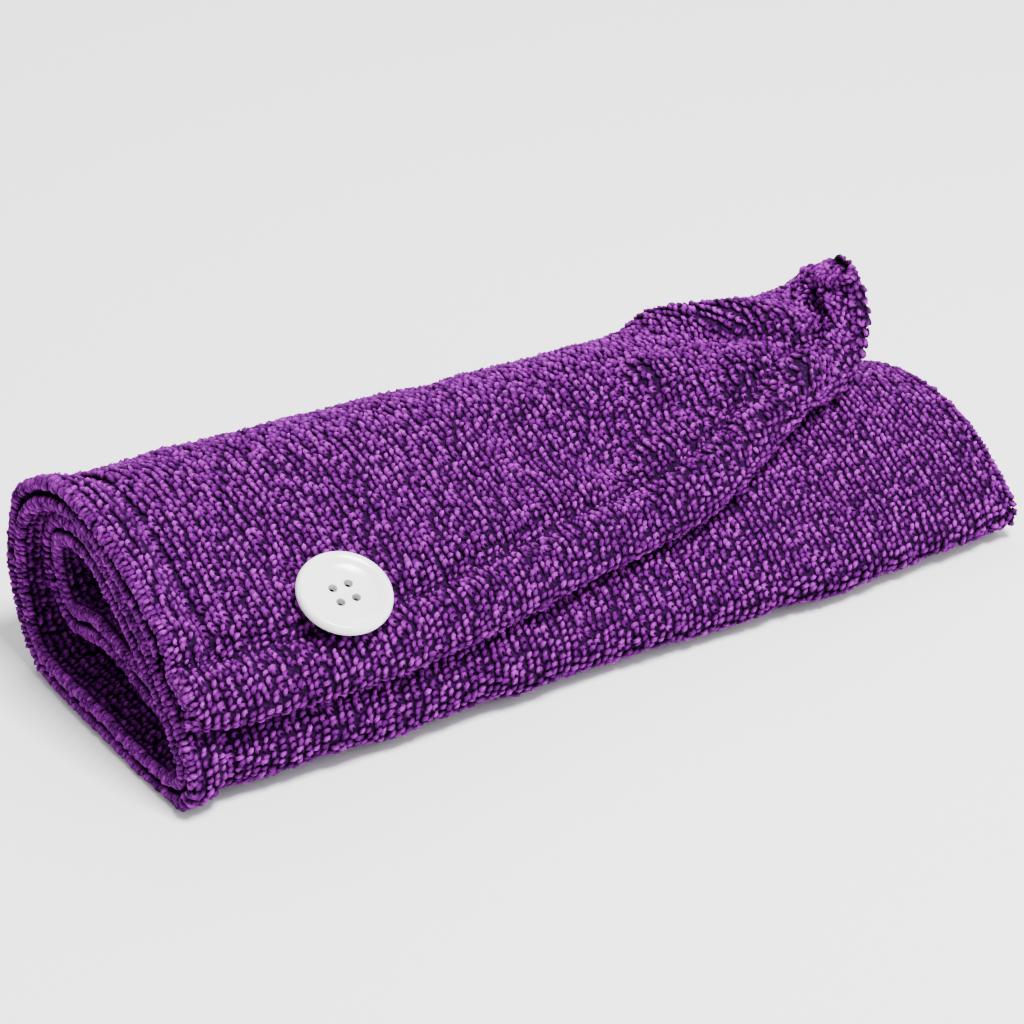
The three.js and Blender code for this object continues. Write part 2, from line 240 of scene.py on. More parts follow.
@dataclass(frozen=True)
class RolledShape:
    """The surface midway between the two plies, over (x along the roll, spiral units round it)."""

    sections: tuple[Section, ...] = SECTIONS
    tent: Tent = Tent()
    curl: Curl = Curl()
    folds: tuple[Fold, ...] = FOLDS

    def polygon(self, x: Array) -> Array:
        """The control polygon at places along the roll.

        Args:
            x: the places.

        Returns:
            Its corners as (..., corner, 2).
        """
        keys = tuple(section.x for section in self.sections)
        corners = []
        for corner in fields(Section)[1:]:
            pairs = [getattr(section, corner.name) for section in self.sections]
            corners.append(np.stack([Table(keys, tuple(column))(x) for column in zip(*pairs)], axis=-1))
        return np.stack(corners, axis=-2)

    @staticmethod
    def moved_in(polygon: Array, distance: Array) -> Array:
        """Moves polygons inwards, edge by edge.

        Args:
            polygon: the polygons, as (..., corner, 2).
            distance: how far each one moves.

        Returns:
            The moved polygons.
        """
        edge = unit(np.roll(polygon, -1, axis=-2) - polygon)
        after = np.stack([edge[..., 1], -edge[..., 0]], axis=-1)
        before = np.roll(after, 1, axis=-2)
        reach = distance[..., None, None] / (1.0 + np.sum(before * after, axis=-1, keepdims=True))
        return polygon + reach * (before + after)

    @staticmethod
    def spline_point(polygon: Array, units: Array) -> Array:
        """Points of the closed uniform B-splines of polygons.

        Args:
            polygon: the polygons, as (..., corner, 2).
            units: the place on each one, in corners.

        Returns:
            Points as (..., 2).
        """
        whole = np.floor(units).astype(int)
        f = units - whole
        weights = ((1 - f) ** 3 / 6, (3 * f**3 - 6 * f**2 + 4) / 6,
                   (-3 * f**3 + 3 * f**2 + 3 * f + 1) / 6, f**3 / 6)
        point = np.zeros(units.shape + (2,))
        for j, weight in enumerate(weights):
            corner = (whole + j - 1) % UNITS_A_TURN
            point += weight[..., None] * np.take_along_axis(polygon, corner[..., None, None], axis=-2)[..., 0, :]
        return point

    @staticmethod
    def turns_outside(units: Array) -> Array:
        """How many turns lie outside these places of the spiral."""
        whole, part = np.divmod((units - STEP_FROM) / UNITS_A_TURN, 1.0)
        return whole + smooth(0.0, STEP_UNITS / UNITS_A_TURN, part)

    def fold_height(self, x: Array, units: Array) -> Array:
        """How far the folds and waves raise the cloth.

        Args:
            x: places along the roll.
            units: spiral units.

        Returns:
            Heights outwards, in millimetres.
        """
        height = sum(wave.at(x, units) for wave in WAVES)
        height *= 1.0 - smooth(*WAVES_END, units) * (1.0 - smooth(*WAVES_RETURN, units))
        for fold in self.folds:
            run = np.array([fold.x[1] - fold.x[0], (fold.units[1] - fold.units[0]) * UNIT_LENGTH])
            here = np.stack([x - fold.x[0], (units - fold.units[0]) * UNIT_LENGTH], axis=-1)
            share = np.clip(here @ run / max(run @ run, 1e-9), 0.0, 1.0)
            height += fold.height * bell(np.linalg.norm(here - share[..., None] * run, axis=-1) / fold.width)
        return height

    def middle(self, x: Array, units: Array) -> Array:
        """Points of the surface.

        Args:
            x: places along the roll before the curl bends them.
            units: spiral units round the roll.

        Returns:
            Points as (..., 3), in millimetres.
        """
        inwards = TURN_PITCH * self.turns_outside(units) - self.fold_height(x, units)
        past = np.maximum(0.0, x - self.curl.x)
        level = past * (1.0 - smooth(*self.curl.back, units))
        flat = self.spline_point(self.moved_in(self.polygon(x - level), inwards), units)
        from_edge = units - MOUTH(x)
        tent = self.tent.height * smooth(*self.tent.x, x) * smooth(*self.tent.edge, from_edge)
        tent = tent * (1.0 - smooth(*self.tent.back, units))
        bend = np.maximum((1.0 - smooth(*self.curl.edge, from_edge)) / self.curl.radius, 1e-6)
        along = np.where(past > 0, self.curl.x + np.sin(bend * past) / bend, x)
        rise = np.where(past > 0, (1.0 - np.cos(bend * past)) / bend, 0.0)
        return np.stack([along, flat[..., 0], flat[..., 1] + tent + rise], axis=-1)

    def frame_at(self, x: Array, units: Array) -> tuple[Array, Array, Array]:
        """Points with the directions along the roll and out of the cloth.

        Args:
            x: places along the roll.
            units: spiral units.

        Returns:
            Points, unit directions along the roll, unit directions outwards.
        """
        across = self.middle(x + DIFFERENCE, units) - self.middle(x - DIFFERENCE, units)
        around = self.middle(x, units + DIFFERENCE) - self.middle(x, units - DIFFERENCE)
        return self.middle(x, units), unit(across), unit(np.cross(across, around))


@dataclass
class SpiralLines:
    """Lines round the spiral, one at each share of the towel's width, measured by length from the mouth.

    Attributes:
        shape: the rolled shape.
        shares: places across the towel, from 0 at the near edge to 1 at the far edge.
    """

    shape: RolledShape
    shares: Array
    units: Array = field(init=False)
    lengths: Array = field(init=False)

    def __post_init__(self) -> None:
        """Measures every line."""
        guess = self.shares * ROLL_LENGTH
        start, end = MOUTH(guess), TAIL(guess)
        steps = np.linspace(0.0, 1.0, TABLE_STEPS + 1)
        self.units = start[:, None] + (end - start)[:, None] * steps
        points = self.shape.middle(self.x_at(self.shares[:, None], self.units), self.units)
        hops = np.linalg.norm(np.diff(points, axis=1), axis=-1)
        self.lengths = np.concatenate([np.zeros((len(guess), 1)), np.cumsum(hops, axis=1)], axis=1)

    @staticmethod
    def x_at(share: Array, units: Array) -> Array:
        """Places along the roll, between the towel's two side edges with their rounded corners.

        Args:
            share: places across the towel.
            units: spiral units.

        Returns:
            Millimetres along the roll.
        """
        ends = []
        for edge, cut in ((NEAR_EDGE(units), NEAR_CORNER_CUT), (FAR_EDGE(units), -FAR_CORNER_CUT)):
            from_mouth = (units - MOUTH(edge)) * UNIT_LENGTH
            ends.append(edge + cut * (1.0 - quarter_circle(from_mouth / CORNER_ROUNDING)))
        near, far = ends
        return near + share * (far - near)

    def units_at(self, line: int, length: Array) -> Array:
        """Spiral units along one line, which runs straight on before the mouth.

        Args:
            line: which line.
            length: lengths from the mouth, below zero before it.

        Returns:
            The units at each length.
        """
        lengths, units = self.lengths[line], self.units[line]
        first = (units[1] - units[0]) / (lengths[1] - lengths[0])
        return np.where(length < 0, units[0] + first * length, np.interp(length, lengths, units))

    def place(self, line: int, length: Array) -> tuple[Array, Array]:
        """(x, spiral units) at lengths along one line."""
        units = self.units_at(line, length)
        return self.x_at(self.shares[line], units), units


# Cloth

GROUND_THICKNESS = 1.8
GROUND_OFFSET = 1.55
EDGE_INSET = 1.6
RIM_STEPS = (0.0, 0.35, 1.0, 2.0)
RIM_THINNEST = 0.05
END_THINNING = 0.4
COLUMNS_BEFORE_CURL = 52
COLUMNS_IN_CURL = 14
ROWS_ROUND = 120
ROW_BY_LENGTH = 0.55
HEM_ROWS = 12
TURN_ROWS = 5
TURN_HALF_ANGLE = math.pi / 3
UNDER_ROWS = 8
UNDER_GAP = 2.0


@dataclass(frozen=True)
class Hem:
    """The cloth's relief: the padded hem with its stitched seam, and the bands at the side edges.

    Lengths are in millimetres from the mouth or a side edge. Spans with "share" run across the towel.
    """

    width: float = 15.0
    back_gap: float = 4.0
    seam: float = 12.5
    puff: float = 2.0
    puff_end: float = 8.0
    corner_puff: float = 3.0
    corner_puff_share: tuple[float, float] = (0.6, 0.9)
    pucker_puff: float = 0.25
    puckers: tuple[tuple[float, float, float], ...] = ((0.35, 7.3, 0.0), (0.25, 11.9, 1.0))
    swell: float = 1.0
    swell_after: float = 6.5
    swell_width: float = 5.0
    groove: float = 1.7
    groove_width: float = 2.3
    groove_loss: float = 0.6
    groove_loss_share: tuple[float, float] = (0.88, 0.97)
    depth_limit: float = 1.2
    side_band: float = 10.5
    side_puff: float = 1.0
    side_groove: float = 1.3
    side_band_start: tuple[float, float] = (6.0, 21.0)
    flare: float = 1.0
    flare_reach: float = 4.0
    roll: float = 0.7
    roll_share: tuple[float, float] = (0.8, 0.9)
    roll_end_share: tuple[float, float] = (0.93, 0.985)

    def rolled(self, length: Array, share: Array) -> Array:
        """How much fatter the hem's rolled edge is by the far corner, on either side of its middle."""
        rise = smooth(*self.roll_share, share) * (1.0 - smooth(*self.roll_end_share, share))
        return self.roll * rise * np.clip(1.0 - length / self.seam, 0.0, 1.0) ** 2

    def relief(self, length: Array, share: Array) -> Array:
        """How far the cloth rises from its even surface.

        Args:
            length: lengths from the mouth.
            share: places across the towel.

        Returns:
            Rises, in millimetres.
        """
        side = share * ROLL_LENGTH
        pucker = 1.0 + sum(depth * np.sin(2 * np.pi * side / run + phase) for depth, run, phase in self.puckers)
        puff = self.puff + self.corner_puff * smooth(*self.corner_puff_share, share)
        puff = (puff + self.pucker_puff * (pucker - 1.0)) * np.sin(np.pi * np.clip(length / self.seam, 0.0, 1.0))
        puff = puff * quarter_circle(np.minimum(share, 1.0 - share) * ROLL_LENGTH / self.puff_end)
        swell = self.swell * bell((length - self.seam - self.swell_after) / self.swell_width)
        groove = self.groove * (1.0 - self.groove_loss * smooth(*self.groove_loss_share, share))
        groove = groove * pucker * bell((length - self.seam) / self.groove_width)
        band = self.side_puff * np.sin(np.pi * np.clip(side / self.side_band, 0.0, 1.0))
        band = band - self.side_groove * bell((side - self.side_band) / self.groove_width)
        flare = self.flare * bell(side / self.flare_reach)
        relief = puff + swell + flare - groove + band * smooth(*self.side_band_start, length)
        return np.maximum(relief, -self.depth_limit) + self.rolled(length, share)


HEM = Hem()


class PlySide(Enum):
    """Which of the two plies: its pile faces outwards or inwards."""

    OUTER = 1
    INNER = -1

    @property
    def start(self) -> float:
        """Length from the mouth at which the ply's face begins."""
        return 0.0 if self is PlySide.OUTER else HEM.width + HEM.back_gap

    def relief(self, length: Array, share: Array) -> Array:
        """The rise of the ply's face: only the outer ply has the hem."""
        return HEM.relief(length, share) if self is PlySide.OUTER else 0.0 * length


def across_shares() -> Array:
    """Places across the towel, closer together at the side edges and in the curl.

    Returns:
        Shares of the towel's width, rising.
    """
    reach, bend = EDGE_INSET + RIM_STEPS[-1], Curl().x
    inner = np.linspace(reach, bend, COLUMNS_BEFORE_CURL + 1)[1:]
    curl = np.linspace(bend, ROLL_LENGTH - reach, COLUMNS_IN_CURL + 1)[1:-1]
    rim = EDGE_INSET + np.array(RIM_STEPS)
    return np.concatenate([rim, inner, curl, (ROLL_LENGTH - rim)[::-1]]) / ROLL_LENGTH


def mesh_object(name: str, points: Array, faces: Sequence[Sequence[int]],
                smooth_faces: bool = True) -> bpy.types.Object:
    """A mesh object at the origin.

    Args:
        name: its name.
        points: vertices, in millimetres.
        faces: vertex indices of each face.
        smooth_faces: whether faces are shaded smooth.

    Returns:
        The linked object.
    """
    mesh = bpy.data.meshes.new(name)
    mesh.from_pydata((np.asarray(points) * MM).tolist(), [], [list(face) for face in faces])
    mesh.polygons.foreach_set("use_smooth", [smooth_faces] * len(mesh.polygons))
    mesh.update()
    obj = bpy.data.objects.new(name, mesh)
    bpy.context.scene.collection.objects.link(obj)
    return obj


def baked(obj: bpy.types.Object, name: str) -> bpy.types.Object:
    """A plain mesh object of what obj shows, in its place.

    Args:
        obj: the object with its modifiers, which is removed.
        name: the new object's name.

    Returns:
        The plain object.
    """
    graph = bpy.context.evaluated_depsgraph_get()
    mesh = bpy.data.meshes.new_from_object(obj.evaluated_get(graph), depsgraph=graph)
    mesh.name = name
    plain = bpy.data.objects.new(name, mesh)
    bpy.context.scene.collection.objects.link(plain)
    bpy.data.objects.remove(obj)
    return plain


def closed_faces(columns: int, rows: int) -> list[tuple[int, ...]]:
    """Quads that close a sheet whose vertices are two grids, its face and its back, column by column.

    Args:
        columns: columns of one grid.
        rows: rows of one grid.

    Returns:
        The vertex indices of each quad.
    """
    face, back = np.arange(2 * columns * rows).reshape(2, columns, rows).tolist()
    face_rows, back_rows = list(zip(*face)), list(zip(*back))
    strips = list(zip(face_rows, face_rows[1:])) + list(zip(back, back[1:]))
    strips += [(back_rows[0], face_rows[0]), (face_rows[-1], back_rows[-1])]
    strips += [(face[0], back[0]), (back[-1], face[-1])]
    return [quad for one, two in strips for quad in zip(one, one[1:], two[1:], two)]


@dataclass
class Ply:
    """The ground cloth of one ply: a thin closed sheet that the pile loops stand on.

    Attributes:
        side: which ply.
        shape: the rolled shape.
        node: the CAD node that it stands for.
    """

    side: PlySide
    shape: RolledShape
    node: str

    def row_places(self, lines: SpiralLines, line: int) -> tuple[Array, Array]:
        """Where the rows of the sheet lie along one line, from the hem's turned-under end to the tail.

        Args:
            lines: the measured lines.
            line: which of them.

        Returns:
            The rows' lengths from the mouth and their offsets from the middle between the plies.
        """
        share, lengths, units = lines.shares[line], lines.lengths[line], lines.units[line]
        start = self.side.start or HEM.width
        first = lines.units_at(line, start)
        mixed = (ROW_BY_LENGTH * (lengths - start) / (lengths[-1] - start)
                 + (1.0 - ROW_BY_LENGTH) * (units - first) / (units[-1] - first))
        even = np.interp(np.linspace(0.0, 1.0, ROWS_ROUND), mixed, lengths)
        if self.side is PlySide.INNER:
            return even, np.full(ROWS_ROUND, -GROUND_OFFSET)
        under = np.linspace(HEM.width - UNDER_GAP, 0.0, UNDER_ROWS)
        angle = np.linspace(-TURN_HALF_ANGLE, TURN_HALF_ANGLE, TURN_ROWS)
        turn = GROUND_OFFSET + HEM.rolled(0.0, share)
        face = np.concatenate([np.linspace(0.0, HEM.width, HEM_ROWS), even[1:]])
        offset = [-GROUND_OFFSET - HEM.rolled(under, share), turn * np.sin(angle),
                  GROUND_OFFSET + HEM.relief(face, share)]
        return np.concatenate([under, -turn * np.cos(angle), face]), np.concatenate(offset)

    def build(self) -> bpy.types.Object:
        """Makes the sheet.

        Returns:
            Its object.
        """
        shares = across_shares()
        lines = SpiralLines(self.shape, shares)
        columns = []
        for line in range(len(shares)):
            length, offset = self.row_places(lines, line)
            point, _, out = self.shape.frame_at(*lines.place(line, length))
            columns.append(point + out * offset[:, None])
        grid = np.array(columns)
        last_column, last_row = grid.shape[0] - 1, grid.shape[1] - 1
        i, j = np.arange(last_column + 1), np.arange(last_row + 1)
        across = grid[np.minimum(i + 1, last_column)] - grid[np.maximum(i - 1, 0)]
        around = grid[:, np.minimum(j + 1, last_row)] - grid[:, np.maximum(j - 1, 0)]
        out = unit(np.cross(across, around))
        from_rim = np.minimum(shares, 1.0 - shares) * ROLL_LENGTH - EDGE_INSET
        half = 0.5 * GROUND_THICKNESS * quarter_circle(from_rim / RIM_STEPS[-1], RIM_THINNEST)
        half = np.repeat(half[:, None], last_row + 1, axis=1)
        half[:, [0, -1]] *= END_THINNING
        points = np.concatenate([grid + out * half[..., None], grid - out * half[..., None]]).reshape(-1, 3)
        return mesh_object(f"{self.node}_ground", points + FRAME_SHIFT, closed_faces(*grid.shape[:2]))


# Button


def ring(radius: float, height: float, count: int, middle: tuple[float, float] = (0.0, 0.0)) -> list[tuple]:
    """Points round a circle."""
    angles = [2 * math.pi * k / count for k in range(count)]
    return [(middle[0] + radius * math.cos(a), middle[1] + radius * math.sin(a), height) for a in angles]


def band(start: int, count: int) -> list[tuple[int, ...]]:
    """Quads between the ring of vertices that begins at start and the ring after it."""
    pairs = [(start + k, start + (k + 1) % count) for k in range(count)]
    return [(a, b, b + count, a + count) for a, b in pairs]


@dataclass(frozen=True)
class ButtonSizes:
    """Sizes of the button and its shank of thread, in millimetres, and its place on the flap.

    Attributes:
        back: outline of the back, as shares of the radius and of half the thickness.
        well: outline inside the rim, as millimetres in from the edge and shares of half the thickness.
        middle: outline of the sunk middle, in the same terms as the back.
    """

    radius: float = 12.0
    thickness: float = 3.2
    standoff: float = 7.6
    lean: float = 9.5
    hole_radius: float = 1.15
    hole_spacing: float = 4.3
    x: float = 48.0
    units: float = 1.33
    rim: float = 1.3
    rim_middle: float = 0.25
    rim_height: float = 0.95
    back: tuple[tuple[float, float], ...] = ((0.0, -1.0), (0.5, -0.96), (0.8, -0.85))
    well: tuple[tuple[float, float], ...] = ((2.6, 0.95), (3.3, 0.72), (4.2, 0.5))
    middle: tuple[tuple[float, float], ...] = ((0.45, 0.36), (0.0, 0.34))
    edge_bevel: float = 0.22
    edge_angle: float = 50.0
    steps: int = 96
    rim_steps: int = 13
    hole_steps: int = 32
    pin_reach: float = 6.0
    thread_radius: float = 2.6
    thread_from: float = 2.6
    thread_gap: float = 0.5
    thread_yarn: float = 0.42
    thread_turns: int = 5
    thread_steps: int = 110


@dataclass
class Button:
    """The round four-hole button on the flap, with the thread shank behind it."""

    sizes: ButtonSizes
    shape: RolledShape

    def place(self, lean: float = 0.0) -> Matrix:
        """Where the button's axes lie, with Z out of the cloth.

        Args:
            lean: degrees that Z leans from the cloth's own direction towards the sky.

        Returns:
            The matrix from those axes to the row frame, in metres.
        """
        point, _, out = self.shape.frame_at(np.array([self.sizes.x]), np.array([self.sizes.units]))
        up = Matrix.Rotation(-math.radians(lean), 3, "X") @ Vector(out[0])
        right = (Vector((1, 0, 0)) - up * up.x).normalized()
        turn = Matrix((right, up.cross(right), up)).transposed().to_4x4()
        where = Vector((point[0] + out[0] * self.sizes.standoff + FRAME_SHIFT) * MM)
        return Matrix.Translation(where) @ turn

    def profile(self) -> list[tuple[float, float]]:
        """The turned outline.

        Returns:
            Radius and height from the middle of the back round to the middle of the front.
        """
        size = self.sizes
        r, half = size.radius, size.thickness / 2
        back, middle = ([(r * a, half * b) for a, b in part] for part in (size.back, size.middle))
        rim = [(r - size.rim + size.rim * math.cos(a), half * (size.rim_middle + size.rim_height * math.sin(a)))
               for a in np.linspace(-math.pi / 2, math.pi / 2, size.rim_steps)]
        return back + rim + [(r - a, half * b) for a, b in size.well] + middle

    def build_disc(self) -> bpy.types.Object:
        """Makes the disc without its holes.

        Returns:
            The object.
        """
        steps, rings = self.sizes.steps, self.profile()
        points = [(0.0, 0.0, rings[0][1])]
        for radius, height in rings[1:-1]:
            points += ring(radius, height, steps)
        top, last = len(points), len(points) - steps
        points.append((0.0, 0.0, rings[-1][1]))
        faces: list[tuple[int, ...]] = [(0, 1 + (k + 1) % steps, 1 + k) for k in range(steps)]
        for start in range(1, last, steps):
            faces += band(start, steps)
        faces += [(top, last + k, last + (k + 1) % steps) for k in range(steps)]
        return mesh_object("button_disc", np.array(points), faces)

    def build_pins(self) -> bpy.types.Object:
        """Makes the four pins that cut the holes.

        Returns:
            The object.
        """
        size, steps = self.sizes, self.sizes.hole_steps
        points: list[tuple[float, float, float]] = []
        faces: list[tuple[int, ...]] = []
        half = size.hole_spacing / 2
        for middle in ((-half, -half), (-half, half), (half, -half), (half, half)):
            start = len(points)
            for level in (-size.pin_reach, size.pin_reach):
                points += ring(size.hole_radius, level, steps, middle)
            faces.append(tuple(range(start + steps - 1, start - 1, -1)))
            faces.append(tuple(range(start + steps, start + 2 * steps)))
            faces += band(start, steps)
        return mesh_object("button_pins", np.array(points), faces)

    def build(self) -> bpy.types.Object:
        """Makes the button.

        Returns:
            The object.
        """
        disc, pins = self.build_disc(), self.build_pins()
        cut = disc.modifiers.new("holes", "BOOLEAN")
        cut.operation, cut.solver, cut.object = "DIFFERENCE", "EXACT", pins
        round_off = disc.modifiers.new("edges", "BEVEL")
        round_off.width, round_off.segments, round_off.limit_method = self.sizes.edge_bevel * MM, 3, "ANGLE"
        round_off.angle_limit = math.radians(self.sizes.edge_angle)
        button = baked(disc, "button_body")
        bpy.data.objects.remove(pins)
        button.data.transform(self.place(self.sizes.lean))
        return button

    def build_thread(self) -> bpy.types.Object:
        """Makes the shank of thread, wound between the cloth and the button.

        Returns:
            The object.
        """
        size = self.sizes
        low = size.thread_from + size.thread_yarn
        high = size.standoff - size.thickness / 2 - size.thread_gap - size.thread_yarn
        radius = size.thread_radius - size.thread_yarn
        curve = bpy.data.curves.new("thread_path", "CURVE")
        curve.dimensions = "3D"
        curve.bevel_depth = size.thread_yarn * MM
        curve.bevel_resolution = 2
        path = curve.splines.new("POLY")
        path.points.add(size.thread_steps)
        for k in range(size.thread_steps + 1):
            q = k / size.thread_steps
            angle = 2 * math.pi * size.thread_turns * q
            path.points[k].co = (radius * math.cos(angle) * MM, radius * math.sin(angle) * MM,
                                 (low + (high - low) * q - size.standoff) * MM, 1.0)
        obj = bpy.data.objects.new("thread_path", curve)
        bpy.context.scene.collection.objects.link(obj)
        thread = baked(obj, "button_shank")
        thread.data.transform(self.place())
        return thread


# Node trees


@dataclass(frozen=True)
class Socket:
    """An output socket that can be added, multiplied and so on, each time through a node of its tree."""

    tree: "NodeTree"
    socket: bpy.types.NodeSocket

    def math(self, operation: str, other: "Socket | float" = 0.0) -> "Socket":
        """One Math node with this socket as its first value."""
        return self.tree.out("ShaderNodeMath", {"operation": operation}, {0: self, 1: other})

    def __add__(self, other: "Socket | float") -> "Socket":
        """Sum."""
        return self.math("ADD", other)

    def __sub__(self, other: "Socket | float") -> "Socket":
        """Difference."""
        return self.math("SUBTRACT", other)

    def __rsub__(self, other: float) -> "Socket":
        """Difference from a number."""
        return self * -1.0 + other

    def __mul__(self, other: "Socket | float") -> "Socket":
        """Product."""
        return self.math("MULTIPLY", other)

    def __truediv__(self, other: "Socket | float") -> "Socket":
        """Quotient."""
        return self.math("DIVIDE", other)

    def __pow__(self, other: "Socket | float") -> "Socket":
        """Power."""
        return self.math("POWER", other)

    __radd__ = __add__
    __rmul__ = __mul__


@dataclass
class NodeTree:
    """A node tree whose nodes are all added by one method."""

    tree: bpy.types.NodeTree

    def add(self, kind: str, settings: dict | None = None, inputs: dict | None = None) -> bpy.types.Node:
        """Adds a node.

        Args:
            kind: the node's type.
            settings: its properties by name.
            inputs: values or sockets by input name or index.

        Returns:
            The node.
        """
        node = self.tree.nodes.new(kind)
        for name, value in (settings or {}).items():
            setattr(node, name, value)
        for key, value in (inputs or {}).items():
            if isinstance(value, Socket):
                self.tree.links.new(value.socket, node.inputs[key])
            else:
                node.inputs[key].default_value = value
        return node

    def out(self, kind: str, settings: dict | None = None, inputs: dict | None = None,
            output: str | int = 0) -> Socket:
        """Adds a node and returns one of its outputs."""
        return Socket(self, self.add(kind, settings, inputs).outputs[output])


class ShaderTree(NodeTree):
    """A material and its node tree."""

    def __init__(self, name: str) -> None:
        """Makes the material with an empty tree."""
        self.material = bpy.data.materials.new(name)
        self.material.use_nodes = True
        super().__init__(self.material.node_tree)
        self.tree.nodes.clear()

    def texture(self, kind: str, scale: float, settings: dict, inputs: dict, output: str | int) -> Socket:
        """A texture over the piece's own coordinates, scale in cycles per metre."""
        where = self.out("ShaderNodeTexCoord", output="Object")
        return self.out(kind, settings, {"Vector": where, "Scale": scale, **inputs}, output)

    def mix_color(self, share: Socket | float, first: Socket | Color, second: Socket | Color) -> Socket:
        """Colour between two colours."""
        return self.out("ShaderNodeMix", {"data_type": "RGBA"}, {0: share, 6: first, 7: second}, 2)

    def bump(self, height: Socket, distance: float, strength: float) -> Socket:
        """A normal bumped by a height, distance in metres."""
        return self.out("ShaderNodeBump", None, {"Height": height, "Distance": distance, "Strength": strength})

    def surface(self, **values: object) -> bpy.types.Material:
        """Ends the tree in one Principled shader.

        Args:
            values: its inputs, named in lower case with underscores.

        Returns:
            The material.
        """
        named = {name.replace("_", " ").title().replace("Ior", "IOR"): value for name, value in values.items()}
        self.add("ShaderNodeOutputMaterial", None, {"Surface": self.out("ShaderNodeBsdfPrincipled", None, named)})
        return self.material


# Finishes


@dataclass(frozen=True)
class PileFinish:
    """Looped chenille: painted shade darkens each loop towards its root, painted highlights lighten spots on the
    loop tops, and the tops differ in tone at random from loop to loop.
    """

    name: str = "purple_pile"
    # root is painted shade: the colour at the foot of each loop, where shade falls between the loops
    root: Color = (0.003, 0.0, 0.006, 1.0)
    tip: Color = (0.070, 0.0, 0.110, 1.0)
    # Painted highlight: the light colour that spots on the loop tops take
    highlight_tip: Color = (0.540, 0.035, 0.680, 1.0)
    fibres_a_metre: float = 2600.0
    shade_share: float = 0.55
    fibre_share: float = 0.55
    contrast: float = 1.9
    # Power on the height up the loop that sets how far the painted shade reaches up from the root
    painted_shade_power: float = 2.1

    def build(self) -> bpy.types.Material:
        """Makes the material.

        Returns:
            The material.
        """
        tree = ShaderTree(self.name)
        lift, shade = (tree.out("ShaderNodeAttribute", {"attribute_name": name}, output="Fac")
                       for name in ("lift", "shade"))
        fibre = tree.texture("ShaderNodeTexNoise", self.fibres_a_metre, {}, {"Detail": 3.0}, 0)
        # Where painted highlights fall, set by each loop's random value and by fibre noise, so they also vary the
        # tone at random
        pale = (shade * self.shade_share + fibre * self.fibre_share) ** self.contrast
        # Painted shade: the colour darkens to the root colour towards the foot of each loop
        color = tree.mix_color(lift ** self.painted_shade_power, self.root, tree.mix_color(pale, self.tip, self.highlight_tip))
        return tree.surface(base_color=color, roughness=0.55, specular_ior_level=0.03,
                            normal=tree.bump(fibre, 0.0004, 0.7))


@dataclass(frozen=True)
class GroundFinish:
    """The ground cloth between the loops, coloured near-black as painted shade, with the lighter knots of their
    feet.
    """

    name: str = "purple_ground"
    # Painted shade: both colours are darkened far below the towel's purple for the shade between the loops; the
    # knots are the pattern of the loops' feet
    color: Color = (0.006, 0.0, 0.012, 1.0)
    knot: Color = (0.048, 0.0, 0.074, 1.0)
    knots_a_metre: float = 720.0
    knot_slope: float = 1.25
    knot_power: float = 1.6

    def build(self) -> bpy.types.Material:
        """Makes the material.

        Returns:
            The material.
        """
        tree = ShaderTree(self.name)
        gap = tree.texture("ShaderNodeTexVoronoi", self.knots_a_metre, {"feature": "F1"}, {}, "Distance")
        knot = (1.0 - gap * self.knot_slope).math("MAXIMUM", 0.0) ** self.knot_power
        return tree.surface(base_color=tree.mix_color(knot, self.color, self.knot), roughness=0.95,
                            specular_ior_level=0.1, normal=tree.bump(knot, 0.0009, 0.9))


@dataclass(frozen=True)
class PlainFinish:
    """An even finish of one colour, glossy or matte."""

    name: str
    color: Color
    roughness: float
    coat: float = 0.0

    def build(self) -> bpy.types.Material:
        """Makes the material."""
        return ShaderTree(self.name).surface(base_color=self.color, roughness=self.roughness,
                                             coat_weight=self.coat, coat_roughness=0.1)


# Pile. Lengths are in millimetres, views in millimetres from an end or in spiral units.

PIECE_BUDGET = 190_000
ROW_SPACING = 2.3
ROW_JITTER = 0.08
LOOP_PITCH = 1.7
PITCH_JITTER = 0.16
ROW_START = 0.3
TAIL_GAP = 1.0
ROOT_DEPTH = 0.35
LINE_NUDGE = 0.002
LENGTH_NUDGE = 0.5
SEAM_HALF_WIDTH = 1.2
SEAM_LOOP_CUT = 0.45
WILD_HEM = 1.3
WILD_HEM_X = (120.0, 190.0)
MOUTH_STEP = math.radians(34)
MOUTH_JITTER = 0.12
MOUTH_ENDS = ((0.6, -1.6), (1.0, -0.7), (-1.0, 0.5), (-0.6, 1.0))
UNDER_START = 0.4
UNDER_JITTER = 0.15
UNDER_SHOWN_X = (16.0, 165.0)
SIDE_ANGLES = (math.radians(62), math.radians(20), math.radians(-22))
SIDE_PITCH = 1.4
SIDE_JITTER = 0.1
SIDE_DEPTH = 0.2

# Which way each side edge faces along the roll, and how wild its loops are
SIDES = ((-1.0, 0.35), (1.0, 0.105))

HEM_END_ROWS = (0.0, 0.33, 0.66)
CRUSH_HEIGHT = 1.9
CRUSHED_SIZE = 0.25
END_VIEW_OUTER = 34.0
END_VIEW_INNER = 48.0
INNER_VIEW_X = 165.0
INNER_VIEW_UNITS = 0.9
HIDDEN_MARGIN = 0.3
TOP_END = 3.3
NEAR_VIEW = 14.0


@dataclass(frozen=True)
class LoopYarn:
    """One loop of the pile: its sizes in millimetres, its turn against the row in degrees, and its mesh."""

    width: float = 1.22
    height: float = 1.25
    yarn: float = 0.65
    twist: float = -46.0
    spread: float = 30.0
    tilt: float = 14.0
    sides: int = 4
    segments: int = 5

    @property
    def triangles(self) -> int:
        """Triangles of one loop."""
        return 2 * self.sides * self.segments

    def inputs(self) -> dict[str, object]:
        """What the loop nodes are given: each field by its name, in metres and radians."""
        lengths = {name.title(): getattr(self, name) * MM for name in ("width", "height", "yarn")}
        angles = {name.title(): math.radians(getattr(self, name)) for name in ("twist", "spread", "tilt")}
        return {**lengths, **angles, "Sides": self.sides, "Segments": self.segments}


